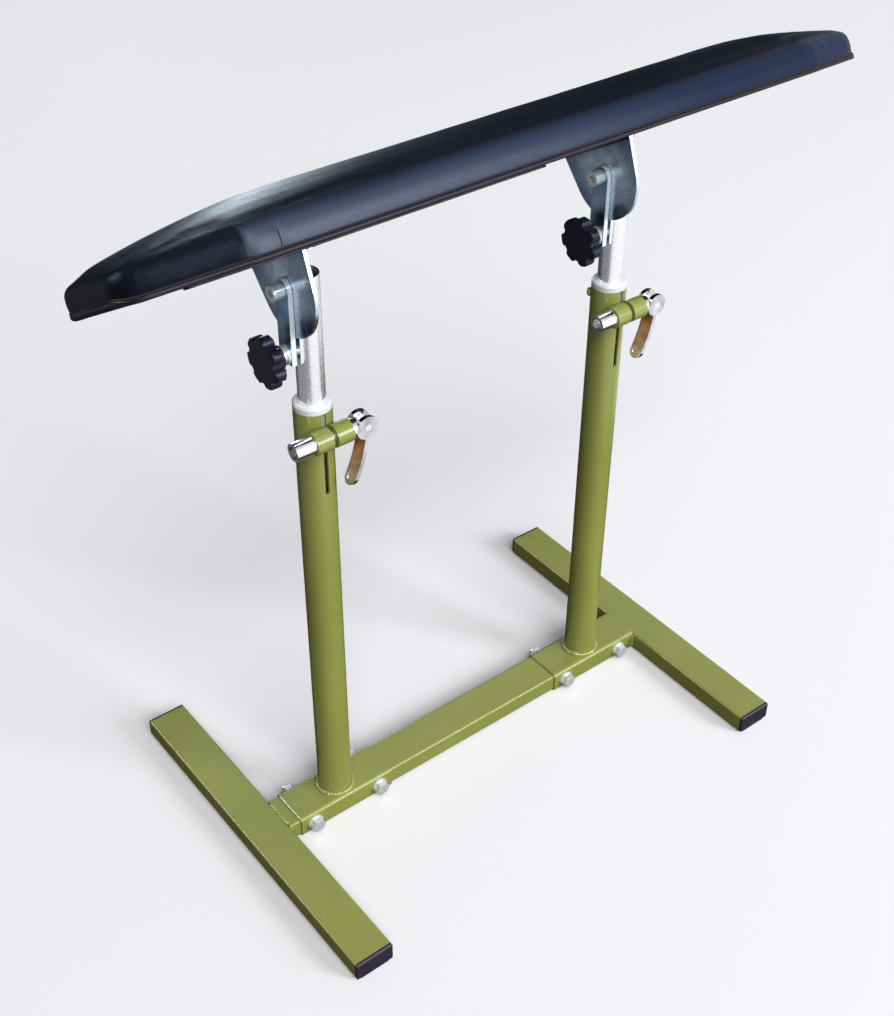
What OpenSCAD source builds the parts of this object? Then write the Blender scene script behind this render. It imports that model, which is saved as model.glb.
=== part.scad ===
// Arm rest stand: a padded board that tilts on two telescoping posts, which
// stand on a bolted base of two feet and a cross rail.
// X runs along the pad, -Y is the front, Z is up. The origin is on the floor,
// under the middle of the pad.

/* [Pad] */
// Length of the pad
pad_l = 760; // [640:5:900]
// Length of the pad's wide middle part
pad_wide_l = 576; // [500:4:600]
// Width of the middle part
pad_w = 180; // [150:2:200]
// Width that the ends taper to
pad_end_w = 130; // [110:2:146]
// Radius of the corners at the tips, in plan
pad_tip_r = 22; // [14:1:30]
// Height of the cushion's side wall above the board's underside
pad_wall_h = 25; // [20:0.5:32]
// Rise of the crown above the side wall
pad_crown = 26.5; // [12:0.5:34]
// Length over which the crown keeps its full rise
pad_crown_l = 500; // [400:5:570]
// Height of the seam that draws the side wall in
pad_seam_h = 4.6; // [3:0.2:7]
// Depth of that seam
pad_seam_in = 1.6; // [0.5:0.1:2.5]
// Drop of the covered rim below the board's underside
pad_rim_drop = 3; // [2:0.1:4]
// Thickness of the board inside the cover
board_t = 12; // [9:0.5:15]
// Distance from the cushion's outline in to the board
board_inset = 6; // [4:0.5:10]
// Tilt of the pad, its back edge lower
pad_tilt = 31; // [-30:1:60]

/* [Base] */
// Length of a foot over its caps
foot_l = 378; // [300:2:460]
// Width of the feet's and the rail's tube
tube_w = 40; // [30:1:50]
// Height of that tube
tube_h = 20; // [18:1:30]
// Wall of that tube
tube_wall = 1.5; // [1:0.1:2.5]
// Outer corner radius of that tube
tube_r = 2.5; // [2:0.1:4]
// Place of the left post along X
left_post_x = -210; // [-230:1:-190]
// Place of the right post along X
right_post_x = 117; // [100:1:140]
// Distance from the left post's axis out to the left foot's middle
left_foot_reach = 86; // [80:1:110]
// Distance from the right post's axis out to the right foot's middle
right_foot_reach = 81; // [76:1:110]
// Length of a sleeve from its post's axis to its free end
sleeve_reach = 54; // [48:1:58]
// Wall of the sleeves
sleeve_wall = 1.5; // [1:0.1:2.5]
// Gap between a sleeve and the rail
sleeve_gap = 0.3; // [0.1:0.05:0.5]
// Distance from a post's axis to each bolt of its sleeve
base_bolt_reach = 38.5; // [34:0.5:42]
// Thickness of an end cap outside its foot
cap_end_t = 3.2; // [2.5:0.1:5]
// Bevel round the cap's end
cap_bevel = 1; // [0.5:0.1:1.5]
// Length of the cap's plug and of the glide under the foot
cap_l = 14; // [8:1:20]
// Wall of the cap's hollow plug
cap_wall = 2; // [1.5:0.1:3]
// Width of the glide
cap_glide_w = 30; // [20:1:32]

/* [Posts] */
// Diameter of a post
post_d = 33; // [30:0.5:38]
// Wall of a post
post_wall = 2; // [1.5:0.1:2.5]
// Height of a post's top above the floor
post_top = 476.8; // [400:0.2:560]
// Width of the slit in a post
slit_w = 4; // [2:0.1:5]
// Length of that slit above its round end
slit_l = 80; // [60:1:100]
// Leg of the weld round a post's foot
weld_leg = 2; // [1:0.5:2.5]
// Thickness of the bush's flange on top of a post
bush_flange_h = 6; // [4:0.5:8]
// Length of the bush inside a post
bush_l = 40; // [30:1:50]
// Bevel on the bush's flange
bush_bevel = 1.5; // [0.5:0.1:2]

/* [Clamps] */
// Diameter of the clamp lug on a post
lug_d = 20; // [18:0.5:24]
// Depth that the lug bites into the post
lug_bite = 1.7; // [0.8:0.1:1.8]
// Distance from the post's top down to the lug's axis
lug_drop = 18; // [14:1:24]
// Length of the lug to the left of the slit
lug_left = 17.5; // [12:0.5:20]
// Length of the lug to the right of the slit
lug_right = 18; // [15:0.5:24]
// Diameter of the clamp rod
rod_d = 8; // [6:0.5:9]
// Diameter of the barrel nut
barrel_d = 16; // [14:0.5:18]
// Length of the barrel nut
barrel_l = 18.5; // [16:0.5:26]
// Diameter of the socket in the barrel nut
barrel_socket_d = 11; // [9:0.5:12]
// Depth of that socket
barrel_socket_l = 11; // [6:0.5:12]
// Radius of the cam head
cam_r = 10.5; // [9.5:0.5:12]
// Width of the cam head
cam_w = 16; // [14:0.5:18]
// Throw of the cam
cam_throw = 1; // [0.4:0.1:1.2]
// Diameter of the hollowed washer under the cam
cam_washer_d = 17; // [14:0.5:18]
// Thickness of that washer at its middle
cam_washer_t = 2.5; // [2:0.1:4]
// Diameter of the eye on the clamp rod's end
eye_d = 13; // [11:0.5:14]
// Width of that eye
eye_w = 8; // [6:0.5:9]
// Diameter of the cam's cross pin
cam_pin_d = 6; // [4:0.5:7]
// Length of the lever from the cross pin to its tip
lever_l = 57; // [50:1:80]
// Width of the lever
lever_w = 14; // [10:0.5:15]
// Thickness of the lever
lever_t = 3.5; // [2.5:0.1:4.5]
// Lean of the closed lever towards its post
lever_lean = 17; // [12:1:26]
// Radius of the lever's bow
lever_bow_r = 120; // [100:5:200]
// Depth of the hollow near the lever's tip
lever_hollow = 1; // [0.5:0.1:1.5]

/* [Masts] */
// Diameter of an inner tube
mast_d = 23; // [20:0.5:24]
// Wall of an inner tube
mast_wall = 1.5; // [1:0.1:2]
// Length of an inner tube
mast_l = 400; // [300:5:420]
// Height of the tilt pivot above the posts' tops
pivot_rise = 113.4; // [100:0.2:150]
// Height of an inner tube's top above its pivot
mast_over = 8.6; // [7:0.1:10]
// Distance from the pivot down to the knob's bolt
knob_drop = 57; // [54:1:62]
// Length of the guide below an inner tube
guide_l = 10; // [6:1:16]
// Length of the guide's plug inside the tube
guide_plug_l = 15; // [10:1:25]
// Width of the clamp bar and of the cheek on the tube
bar_w = 18.2; // [16:0.2:20]
// Thickness of the clamp bar
bar_t = 4.3; // [3:0.1:5]
// Thickness of the cheek, off the tube
cheek_t = 2.1; // [1.5:0.1:3]
// Length of the bar and the cheek under the knob's bolt
bar_tail = 7.4; // [7:0.2:14]

/* [Brackets] */
// Width of the bracket plate at its bend
plate_top_w = 90; // [80:1:96]
// Radius of its round lower end
plate_r = 40; // [36:0.5:44]
// Thickness of the bracket plate
plate_t = 3; // [2:0.1:4]
// Distance from the pivot to the board's underside
plate_rise = 29; // [27:0.5:35]
// Outer radius of the plate's bend
bend_r = 6; // [4.2:0.1:8]
// Width of the bent flange
flange_w = 28; // [24:0.5:36]
// Distance from the bracket's middle to each flange screw
screw_reach = 26; // [24:1:34]
// Diameter of the flange screws
screw_d = 6; // [4:0.5:6]
// Diameter of a flange screw's head
screw_head_d = 11; // [10:0.5:12]
// Height of that head
screw_head_h = 3.3; // [2:0.1:3.6]

/* [Knobs] */
// Diameter of a knob over its lobes
knob_d = 45; // [40:1:50]
// Number of lobes
knob_lobes = 7; // [5:1:8]
// Radius of a lobe
knob_lobe_r = 6; // [4.5:0.5:6.5]
// Depth of the valleys between the lobes
knob_valley = 4.8; // [3:0.2:6]
// Thickness of the knob's rim
knob_rim_t = 10; // [8:0.5:14]
// Length of the knob's hub
knob_hub_l = 6.5; // [5:0.5:12]
// Diameter of the hub
knob_hub_d = 20; // [17:0.5:24]
// Rounding of the rim's edges
knob_round = 2.5; // [1:0.5:3.5]
// Diameter of the spacer between a knob and its washer
knob_spacer_d = 12.5; // [11:0.5:16]
// Length of that spacer
knob_spacer_l = 4; // [2:0.5:6]

/* [Fasteners] */
// Diameter of the M8 bolts
bolt_d = 8; // [6:0.5:9]
// Width across flats of their hexagons
hex_af = 13; // [12.5:0.5:15]
// Height of a hexagon head
hex_head_h = 6.3; // [4:0.1:7]
// Height of a nut
nut_h = 6.5; // [5:0.1:8]
// Diameter of a washer
washer_d = 16.5; // [15.5:0.5:18]
// Thickness of a washer
washer_t = 1.6; // [1:0.1:2]
// Diameter of the spring washer under a socket head
spring_washer_d = 12.4; // [11.5:0.1:14]
// Thickness of that washer
spring_washer_t = 2; // [1.5:0.1:2.5]
// Diameter of a socket head
socket_head_d = 13; // [12:0.5:14]
// Height of a socket head
socket_head_h = 8; // [6:0.5:9]
// Width across flats of its hexagon socket
socket_af = 6; // [5:0.5:7]
// Depth of that socket
socket_deep = 4; // [3:0.5:5]
// Thread that shows past a nut on the base
base_thread_l = 3; // [1:0.5:8]
// Thread that shows past the nut in a mast
mast_thread_l = 1.5; // [1:0.5:4]

/* [Hidden] */
$fn = 48;

// How far a cut runs past the face that it opens
over = 1;
// Radial play of what turns or slides
run_fit = 0.05;
// Radial play of a bolt in a plain hole
hole_fit = 0.2;
// Gap between faces that move past each other
face_gap = 0.3;
// Gap between the cam and its washer
cam_gap = 0.4;
// Gap round the board inside the cover
cover_gap = 0.3;
// Part of its width across flats that a hexagon keeps at a bevelled end, as a share
hex_bevel_share = 0.92;

// The sleeves rest on the floor, and the caps' glides lift the feet as much
lift = sleeve_wall + sleeve_gap;
tube_mid_z = lift + tube_h / 2;
sleeve_w = tube_w + 2 * lift;
sleeve_h = tube_h + 2 * lift;
sleeve_r = tube_r + lift;
left_foot_x = left_post_x - left_foot_reach;
right_foot_x = right_post_x + right_foot_reach;
foot_tube_l = foot_l - 2 * cap_end_t;
rail_start = left_foot_x + tube_w / 2;
sleeve_butt = right_foot_x - tube_w / 2;
// Gap between the rail's free end and the foot that closes its sleeve
rail_end_gap = 3;

lug_y = post_d / 2 + lug_d / 2 - lug_bite;
lug_z = post_top - lug_drop;
bush_d = post_d - 2 * post_wall - 2 * run_fit;
// Diameter of the pin that holds a bush
bush_pin_d = 5;
// Diameter, height and drop of its head
bush_pin_head_d = 8;
bush_pin_head_h = 3.5;
bush_pin_drop = 9;
bush_pin_angle = 45;

cam_mid = lug_right + cam_washer_t + cam_gap + cam_r;
cam_pin_x = cam_mid + cam_throw;
rod_start = lug_left + barrel_l - barrel_socket_l;
cam_slot_w = eye_w + 2 * face_gap;
// Length, width and inset from the tip of the lever's hollow
lever_hollow_l = 13;
lever_hollow_w = 8;
lever_hollow_inset = 3;

pivot_z = post_top + pivot_rise;
mast_top = pivot_z + mast_over;
mast_bottom = mast_top - mast_l;
knob_z = pivot_z - knob_drop;
// Where a hexagon meets the round bore of an inner tube
mast_bore_r = mast_d / 2 - mast_wall;
hex_seat_x = sqrt(mast_bore_r * mast_bore_r - hex_af * hex_af / 4) - run_fit;
bar_bottom = knob_z - bar_tail;
cheek_x = mast_d / 2 + cheek_t;
plate_in_x = cheek_x + face_gap;
plate_out_x = plate_in_x + plate_t;
bar_in_x = plate_out_x + face_gap;
bar_out_x = bar_in_x + bar_t;
knob_hub_x = bar_out_x + washer_t + knob_spacer_l + face_gap;
knob_l = knob_hub_l + knob_rim_t;
// Length of the knob's bore, and of its bolt's end in it
knob_bore_l = knob_l - knob_rim_t / 2;
knob_bolt_end = knob_hub_x + knob_bore_l - over;

flange_end_x = flange_w - plate_out_x;
flange_hole_x = (flange_end_x - plate_in_x) / 2;
// Size of a tee nut: wall and diameter of its barrel, then its plate
tee_wall = 1.25;
tee_barrel_d = screw_d + 2 * tee_wall;
tee_plate_d = 3 * screw_d;
tee_plate_t = 1.5;
tee_l = 9;

// Half width of the cushion's outline at the distance a from its middle
function taper_half(a) = a <= pad_wide_l / 2 ? pad_w / 2
    : pad_w / 2 + (pad_end_w - pad_w) / 2 * (a - pad_wide_l / 2) / (pad_l / 2 - pad_wide_l / 2);
function tip_cut(a) = let (in = a - (pad_l / 2 - pad_tip_r))
    in <= 0 ? 0 : pad_tip_r - sqrt(max(pad_tip_r * pad_tip_r - in * in, 0));
function pad_half(a) = taper_half(a) - tip_cut(a);
// The crown falls towards the tips, slowly at first
crown_fall_share = 0.8;
crown_fall_power = 1.8;
function crown_at(a) = let (out = max(a - pad_crown_l / 2, 0) / (pad_l / 2 - pad_crown_l / 2))
    pad_crown * (1 - crown_fall_share * pow(out, crown_fall_power));

// Stations along one half of the pad: shares of the middle part, of the taper and of the tip
middle_shares = [0, 0.3, 0.6, 0.88, 0.95];
taper_shares = [0, 0.1, 0.3, 0.55, 0.8];
tip_shares = [0, 0.3, 0.55, 0.75, 0.9, 0.98, 1];
half_stations = concat(
    [for (s = middle_shares) s * pad_wide_l / 2],
    [for (s = taper_shares) pad_wide_l / 2 + s * (pad_l / 2 - pad_tip_r - pad_wide_l / 2)],
    [for (s = tip_shares) pad_l / 2 - pad_tip_r + s * pad_tip_r]);
last = len(half_stations) - 1;
stations = concat([for (i = [last:-1:1]) -half_stations[i]], half_stations);
// Share of its height that the cushion loses at the tip, and the height that a point at
// the height z has there: top and bottom close in on the level of the tip's nose
tip_drop_share = 0.36;
nose_share = 0.55;
function at_tip(a, z) = let (
        nose_z = nose_share * pad_wall_h,
        in = max(a - (pad_l / 2 - pad_tip_r), 0) / pad_tip_r)
    nose_z + (z - nose_z) * (1 - tip_drop_share * pow(in, 4));

// Cross-section of the cushion from the bottom lip over the crown to the other lip.
// Each side point is an inset from the outline and a height; crown points are shares
// of the half width.
shoulder_share = 0.87;
side_points = [
    [2 * pad_seam_in, 0], [pad_seam_in / 2, pad_seam_h / 3], [pad_seam_in, pad_seam_h],
    [0, (pad_seam_h + pad_wall_h) / 3], [0, 2 * pad_wall_h / 3],
    [pad_seam_in / 2, shoulder_share * pad_wall_h], [2 * pad_seam_in, pad_wall_h]];
crown_shares = [0.9, 0.78, 0.62, 0.42, 0.2];
function side_half(a, side) =
    [for (p = side_points) [side * (pad_half(a) - p[0]), at_tip(a, p[1])]];
function crown_point(a, share) =
    [share * pad_half(a), at_tip(a, pad_wall_h + crown_at(a) * (1 - share * share))];
function section(a) = concat(
    side_half(a, 1),
    [for (s = crown_shares) crown_point(a, s)],
    [crown_point(a, 0)],
    [for (i = [len(crown_shares) - 1:-1:0]) crown_point(a, -crown_shares[i])],
    [for (i = [len(side_points) - 1:-1:0]) side_half(a, -1)[i]]);
section_n = 2 * len(side_points) + 2 * len(crown_shares) + 1;

// Board outline: the cushion's, drawn in on all sides
function board_outline(grow) = let (
        k = (pad_l - 2 * board_inset + 2 * grow) / pad_l,
        front = [for (x = stations) [x * k, -(pad_half(abs(x)) - board_inset + grow)]])
    concat(front, [for (i = [len(front) - 1:-1:0]) [front[i][0], -front[i][1]]]);

module along_x() {
    rotate([0, 90, 0]) children();
}

module along_y() {
    rotate([-90, 0, 0]) children();
}

module on_both_posts() {
    for (x = [left_post_x, right_post_x]) translate([x, 0, 0]) children();
}

// The pad's own frame: origin at the pivot, Y towards the back edge, Z off the board
module in_pad_frame() {
    translate([0, 0, pivot_z]) rotate([-pad_tilt, 0, 0]) children();
}

module rounded_section(w, h, r) {
    square([w - 2 * r, h], center = true);
    square([w, h - 2 * r], center = true);
    for (sx = [-1, 1], sy = [-1, 1])
        translate([sx * (w / 2 - r), sy * (h / 2 - r)]) circle(r = r);
}

module ring_section(w, h, r, wall) {
    difference() {
        rounded_section(w, h, r);
        rounded_section(w - 2 * wall, h - 2 * wall, r - wall);
    }
}

module hexagon(af, h) {
    cylinder(d = af / cos(30), h = h, $fn = 6);
}

// A hexagon head or nut whose corners are turned off at its far end
module bevelled_hexagon(h) {
    bevel_h = (1 / cos(30) - hex_bevel_share) * hex_af / 4;
    intersection() {
        hexagon(hex_af, h);
        union() {
            cylinder(d = 2 * hex_af, h = h - bevel_h);
            translate([0, 0, h - bevel_h])
                cylinder(d1 = hex_af / cos(30), d2 = hex_bevel_share * hex_af, h = bevel_h);
        }
    }
}

module washer(hole_d) {
    difference() {
        cylinder(d = washer_d, h = washer_t);
        translate([0, 0, -over]) cylinder(d = hole_d, h = washer_t + 2 * over);
    }
}

module nut() {
    difference() {
        bevelled_hexagon(nut_h);
        translate([0, 0, -over]) cylinder(d = bolt_d + 2 * run_fit, h = nut_h + 2 * over);
    }
}

// Feet, rail and sleeves

module foot_at(x) {
    color("olivedrab")
        translate([x, -foot_tube_l / 2, tube_mid_z]) along_y()
            linear_extrude(height = foot_tube_l) ring_section(tube_w, tube_h, tube_r, tube_wall);
}

module base_bolt_holes(d) {
    on_both_posts()
        for (side = [-1, 1])
            translate([side * base_bolt_reach, 0, tube_mid_z]) along_y()
                cylinder(d = d, h = 2 * sleeve_w, center = true);
}

module cross_rail() {
    rail_l = sleeve_butt - rail_end_gap - rail_start;
    color("olivedrab") difference() {
        translate([rail_start, 0, tube_mid_z]) rotate([90, 0, 90])
            linear_extrude(height = rail_l) ring_section(tube_w, tube_h, tube_r, tube_wall);
        base_bolt_holes(bolt_d + 2 * hole_fit);
    }
}

module sleeve(start, end) {
    color("olivedrab") difference() {
        translate([start, 0, tube_mid_z]) rotate([90, 0, 90])
            linear_extrude(height = end - start)
                ring_section(sleeve_w, sleeve_h, sleeve_r, sleeve_wall);
        base_bolt_holes(bolt_d + 2 * hole_fit);
    }
}

// Side view of a cap's end, bevelled at its outer face
module cap_profile(w) {
    polygon([[-w / 2, cap_end_t], [-w / 2, cap_bevel], [cap_bevel - w / 2, 0],
        [w / 2 - cap_bevel, 0], [w / 2, cap_bevel], [w / 2, cap_end_t]]);
}

module end_cap() {
    plug_w = tube_w - 2 * (tube_wall + run_fit);
    plug_h = tube_h - 2 * (tube_wall + run_fit);
    plug_r = tube_r - tube_wall;
    intersection() {
        linear_extrude(height = cap_end_t) rounded_section(tube_w, tube_h, tube_r);
        rotate([90, 0, 90]) linear_extrude(height = tube_w, center = true) cap_profile(tube_h);
        rotate([90, 0, 0]) linear_extrude(height = tube_h, center = true) cap_profile(tube_w);
    }
    translate([0, 0, cap_end_t]) linear_extrude(height = cap_l) difference() {
        rounded_section(plug_w, plug_h, plug_r);
        square([plug_w - 2 * cap_wall, plug_h - 2 * cap_wall], center = true);
    }
    // The glide under the foot, one moulding with the cap's end
    translate([-cap_glide_w / 2, tube_h / 2, cap_bevel])
        cube([cap_glide_w, lift, cap_end_t - cap_bevel + cap_l]);
}

module end_caps() {
    color([0.12, 0.11, 0.14])
        for (x = [left_foot_x, right_foot_x], turn = [0, 180])
            translate([x, 0, tube_mid_z]) rotate([0, 0, turn])
                translate([0, -foot_l / 2, 0]) along_y() end_cap();
}

// Bolts through the sleeves, heads in front

module at_base_bolts() {
    on_both_posts()
        for (side = [-1, 1])
            translate([side * base_bolt_reach, 0, tube_mid_z]) along_y() children();
}

module base_bolts() {
    head_y = sleeve_w / 2 + washer_t;
    color("silver") at_base_bolts() {
        translate([0, 0, -head_y]) rotate([180, 0, 0]) bevelled_hexagon(hex_head_h);
        translate([0, 0, -head_y])
            cylinder(d = bolt_d, h = 2 * head_y + nut_h + base_thread_l);
    }
}

module base_washers() {
    color("gainsboro") at_base_bolts()
        for (z = [-sleeve_w / 2 - washer_t, sleeve_w / 2])
            translate([0, 0, z]) washer(bolt_d + 2 * hole_fit);
}

module base_nuts() {
    color("gainsboro") at_base_bolts()
        translate([0, 0, sleeve_w / 2 + washer_t]) nut();
}

// Posts with their split clamp lugs

module post_at(x, pin_angle) {
    color("olivedrab") translate([x, 0, 0]) difference() {
        union() {
            translate([0, 0, sleeve_h]) cylinder(d = post_d, h = post_top - sleeve_h);
            translate([0, 0, sleeve_h])
                cylinder(r1 = post_d / 2 + weld_leg, r2 = post_d / 2, h = weld_leg);
            translate([-lug_left, -lug_y, lug_z]) along_x()
                cylinder(d = lug_d, h = lug_left + lug_right);
        }
        translate([0, 0, sleeve_h - over])
            cylinder(d = post_d - 2 * post_wall, h = post_top - sleeve_h + 2 * over);
        translate([-lug_left - over, -lug_y, lug_z]) along_x()
            cylinder(d = rod_d + 2 * hole_fit, h = lug_left + lug_right + 2 * over);
        translate([-slit_w / 2, -lug_y - lug_d, post_top - slit_l])
            cube([slit_w, lug_y + lug_d, slit_l + over]);
        translate([0, 0, post_top - slit_l]) rotate([90, 0, 0]) cylinder(d = slit_w, h = post_d);
        bush_pin_hole(pin_angle);
    }
}

module at_bush_pin(pin_angle) {
    translate([0, 0, post_top - bush_pin_drop]) rotate([0, 0, pin_angle]) along_x() children();
}

module bush_pin_hole(pin_angle) {
    at_bush_pin(pin_angle) cylinder(d = bush_pin_d + 2 * run_fit, h = post_d);
}

module bush_at(x, pin_angle) {
    color("white") translate([x, 0, 0]) difference() {
        union() {
            translate([0, 0, post_top - bush_l]) cylinder(d = bush_d, h = bush_l + over);
            translate([0, 0, post_top]) cylinder(d = post_d, h = bush_flange_h - bush_bevel);
            translate([0, 0, post_top + bush_flange_h - bush_bevel])
                cylinder(r1 = post_d / 2, r2 = post_d / 2 - bush_bevel, h = bush_bevel);
        }
        translate([0, 0, post_top - bush_l - over])
            cylinder(d = mast_d + 2 * run_fit, h = bush_l + bush_flange_h + 2 * over);
        translate([-slit_w / 2, -post_d, post_top - bush_l - over])
            cube([slit_w, post_d, bush_l + over]);
        bush_pin_hole(pin_angle);
    }
}

module bush_pin(pin_angle) {
    // The pin stops short of the sliding tube
    pin_in = mast_d / 2 + over;
    at_bush_pin(pin_angle) {
        translate([0, 0, pin_in]) cylinder(d = bush_pin_d, h = post_d / 2 - pin_in + over);
        intersection() {
            translate([0, 0, post_d / 2]) cylinder(d = bush_pin_head_d, h = bush_pin_head_h);
            translate([0, 0, post_d / 2 + bush_pin_head_h - bush_pin_head_d])
                sphere(r = bush_pin_head_d);
        }
    }
}

module bush_pins() {
    color("darkolivegreen") {
        translate([left_post_x, 0, 0]) bush_pin(bush_pin_angle);
        translate([right_post_x, 0, 0]) bush_pin(180 - bush_pin_angle);
    }
}

// Clamp rod, barrel nut, hollowed washer, cross pin and cam lever

module at_lug(x) {
    translate([x, -lug_y, lug_z]) children();
}

module clamp_rod_at(x) {
    color("silver") at_lug(x) difference() {
        union() {
            translate([-rod_start, 0, 0]) along_x()
                cylinder(d = rod_d, h = rod_start + cam_pin_x);
            translate([cam_pin_x, 0, 0]) along_y() cylinder(d = eye_d, h = eye_w, center = true);
        }
        translate([cam_pin_x, 0, 0]) along_y()
            cylinder(d = cam_pin_d + 2 * run_fit, h = 2 * eye_w, center = true);
    }
}

module barrel_nut_at(x) {
    color("gainsboro") at_lug(x) translate([-lug_left - barrel_l, 0, 0]) along_x() difference() {
        cylinder(d = barrel_d, h = barrel_l);
        translate([0, 0, -over]) cylinder(d = barrel_socket_d, h = barrel_socket_l + over);
        translate([0, 0, -over]) cylinder(d = rod_d + 2 * run_fit, h = barrel_l + 2 * over);
    }
}

module cam_washer_at(x) {
    // The hollow takes the washer's edge up to the cam's middle
    color("gainsboro") at_lug(x) difference() {
        translate([lug_right, 0, 0]) along_x()
            cylinder(d = cam_washer_d, h = cam_mid - lug_right - cam_r / 2);
        translate([cam_mid, 0, 0]) along_y()
            cylinder(r = cam_r + cam_gap, h = 2 * cam_washer_d, center = true);
        translate([lug_right - over, 0, 0]) along_x()
            cylinder(d = rod_d + 2 * hole_fit, h = cam_mid);
    }
}

module cam_pin_at(x) {
    color("silver") at_lug(x) translate([cam_pin_x, 0, 0]) along_y()
        cylinder(d = cam_pin_d, h = cam_w, center = true);
}

// A band of the lever's bow between two radii, in the lever's own leaning plane
module lever_band(inner_r, outer_r) {
    half = lever_l / 2;
    centre_x = -sqrt(lever_bow_r * lever_bow_r - half * half);
    translate([centre_x, 0, -half]) rotate([90, 0, 0])
        linear_extrude(height = lever_w, center = true) difference() {
            circle(r = outer_r, $fn = 180);
            circle(r = inner_r, $fn = 180);
        }
}

module lever_arm() {
    intersection() {
        lever_band(lever_bow_r - lever_t / 2, lever_bow_r + lever_t / 2);
        union() {
            translate([-lever_l / 2, -lever_w / 2, -lever_l + lever_w / 2])
                cube([lever_l, lever_w, lever_l - lever_w / 2]);
            translate([-lever_l / 2, 0, -lever_l + lever_w / 2]) along_x()
                cylinder(d = lever_w, h = lever_l);
        }
    }
}

module lever_hollow_cut() {
    low = -lever_l + lever_hollow_inset + lever_hollow_w / 2;
    high = low + lever_hollow_l - lever_hollow_w;
    intersection() {
        lever_band(lever_bow_r - 2 * lever_t, lever_bow_r - lever_t / 2 + lever_hollow);
        union() {
            for (z = [low, high])
                translate([-lever_l / 2, 0, z]) along_x() cylinder(d = lever_hollow_w, h = lever_l);
            translate([-lever_l / 2, -lever_hollow_w / 2, low])
                cube([lever_l, lever_hollow_w, high - low]);
        }
    }
}

module lever_at(x) {
    color("silver") at_lug(x) translate([cam_pin_x, 0, 0]) difference() {
        union() {
            translate([-cam_throw, 0, 0]) along_y() cylinder(r = cam_r, h = cam_w, center = true);
            rotate([0, lever_lean, 0]) lever_arm();
        }
        rotate([0, lever_lean, 0]) lever_hollow_cut();
        // Room for the rod as the lever swings from closed over the top
        translate([-2 * cam_r, -cam_slot_w / 2, -rod_d / 2 - face_gap])
            cube([4 * cam_r, cam_slot_w, 2 * cam_r + rod_d]);
        along_y() cylinder(d = eye_d + 2 * face_gap, h = cam_slot_w, center = true);
        along_y() cylinder(d = cam_pin_d + 2 * run_fit, h = 2 * cam_w, center = true);
    }
}

// Inner tubes, with the cheek that the bracket plate is clamped against

module bar_outline() {
    translate([-bar_w / 2, bar_bottom]) square([bar_w, pivot_z - bar_bottom]);
    translate([0, pivot_z]) circle(d = bar_w);
}

module bar_plate(inner_x, t) {
    // A flat bar on the -X side, its outline in the YZ plane
    translate([-inner_x - t, 0, 0]) rotate([90, 0, 90])
        linear_extrude(height = t) bar_outline();
}

// Holes for both bolts of a mast, from its axis out to the front of the clamp bar
module mast_bolt_holes(d) {
    for (z = [pivot_z, knob_z])
        translate([-bar_out_x - over, 0, z]) along_x() cylinder(d = d, h = bar_out_x + over);
}

module inner_tube_at(x) {
    // The cheek is sunk into the tube's wall, as its welds sink it
    sunk = mast_wall / 2;
    color("lightgray") translate([x, 0, 0]) difference() {
        union() {
            translate([0, 0, mast_bottom]) cylinder(d = mast_d, h = mast_l);
            bar_plate(mast_d / 2 - sunk, cheek_t + sunk);
        }
        translate([0, 0, mast_bottom - over]) cylinder(r = mast_bore_r, h = mast_l + 2 * over);
        mast_bolt_holes(bolt_d + 2 * hole_fit);
    }
}

module tube_guide_at(x) {
    color([0.2, 0.2, 0.22]) translate([x, 0, mast_bottom]) {
        translate([0, 0, -guide_l]) cylinder(d = bush_d, h = guide_l);
        cylinder(r = mast_bore_r - run_fit, h = guide_plug_l);
    }
}

module clamp_bar_at(x) {
    color("lightsteelblue") translate([x, 0, 0]) difference() {
        bar_plate(bar_in_x, bar_t);
        mast_bolt_holes(bolt_d + 2 * hole_fit);
    }
}

// Pivot bolts with their nuts inside the tubes, and the knobs' bolts, set from inside

module pivot_bolt_at(x) {
    head_x = bar_out_x + spring_washer_t;
    end_x = hex_seat_x - nut_h - mast_thread_l;
    color("silver") translate([x, 0, pivot_z]) rotate([0, -90, 0]) difference() {
        union() {
            translate([0, 0, head_x]) cylinder(d = socket_head_d, h = socket_head_h);
            translate([0, 0, end_x]) cylinder(d = bolt_d, h = head_x - end_x);
        }
        translate([0, 0, head_x + socket_head_h - socket_deep])
            hexagon(socket_af, socket_deep + over);
    }
}

module pivot_nut_at(x) {
    color("gainsboro") translate([x - hex_seat_x, 0, pivot_z]) along_x() nut();
}

module knob_bolt_at(x) {
    color("silver") translate([x - hex_seat_x, 0, knob_z]) {
        along_x() bevelled_hexagon(hex_head_h);
        rotate([0, -90, 0]) cylinder(d = bolt_d, h = knob_bolt_end - hex_seat_x);
    }
}

module spring_washer() {
    difference() {
        cylinder(d = spring_washer_d, h = spring_washer_t);
        translate([0, 0, -over])
            cylinder(d = bolt_d + 2 * hole_fit, h = spring_washer_t + 2 * over);
        // Split in its ring
        translate([0, -face_gap, -over])
            cube([spring_washer_d, 2 * face_gap, spring_washer_t + 2 * over]);
    }
}

module mast_washers_at(x) {
    color("gainsboro") {
        translate([x - bar_out_x, 0, pivot_z]) rotate([0, -90, 0]) spring_washer();
        translate([x - bar_out_x, 0, knob_z]) rotate([0, -90, 0]) {
            washer(bolt_d + 2 * hole_fit);
            translate([0, 0, washer_t]) difference() {
                cylinder(d = knob_spacer_d, h = knob_spacer_l);
                translate([0, 0, -over])
                    cylinder(d = bolt_d + 2 * hole_fit, h = knob_spacer_l + 2 * over);
            }
        }
    }
}

// Knobs

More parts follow.
